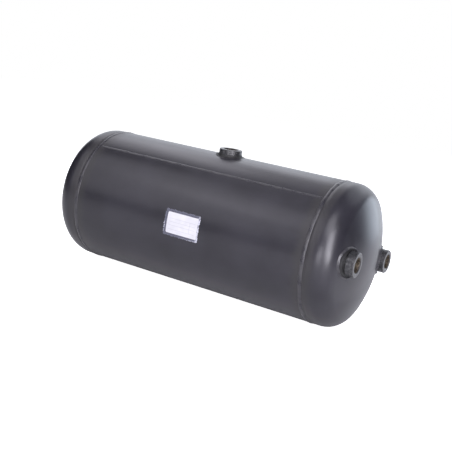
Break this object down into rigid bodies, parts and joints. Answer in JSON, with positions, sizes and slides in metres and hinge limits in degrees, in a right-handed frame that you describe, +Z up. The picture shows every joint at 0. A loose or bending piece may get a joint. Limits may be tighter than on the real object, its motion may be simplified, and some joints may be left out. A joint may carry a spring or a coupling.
{
  "type": "horizontal pressure tank",
  "caption": "Small horizontal compressed-air tank: rolled steel shell with dished heads, weld-in threaded ports on the shell and one head, and a blank label.",
  "frame": {"origin": "on the ground, under the middle of the shell's length; the tank stands on its two girth welds", "axes": "+X along the tank's axis to the head with the two ports, +Z up through the port on the shell, -Y the side with the label"},
  "size_m": [0.5027, 0.2086, 0.2168],
  "materials": {
    "painted_plate": "satin black paint",
    "painted_weld": "satin black paint over weld",
    "port_steel": "black paint outside, bare threads inside",
    "film": "semi-clear film",
    "paper": "white label"
  },
  "bodies": {
    "root": {"shell": "painted_plate", "near_head": "painted_plate", "far_head": "painted_plate", "seam_weld": "painted_weld", "near_girth_weld": "painted_weld", "far_girth_weld": "painted_weld", "top_port_weld": "painted_weld", "front_port_weld": "painted_weld", "rear_port_weld": "painted_weld", "top_port": "port_steel", "front_port": "port_steel", "rear_port": "port_steel", "label_film": "film", "label_paper": "paper"}
  },
  "joints": []
}
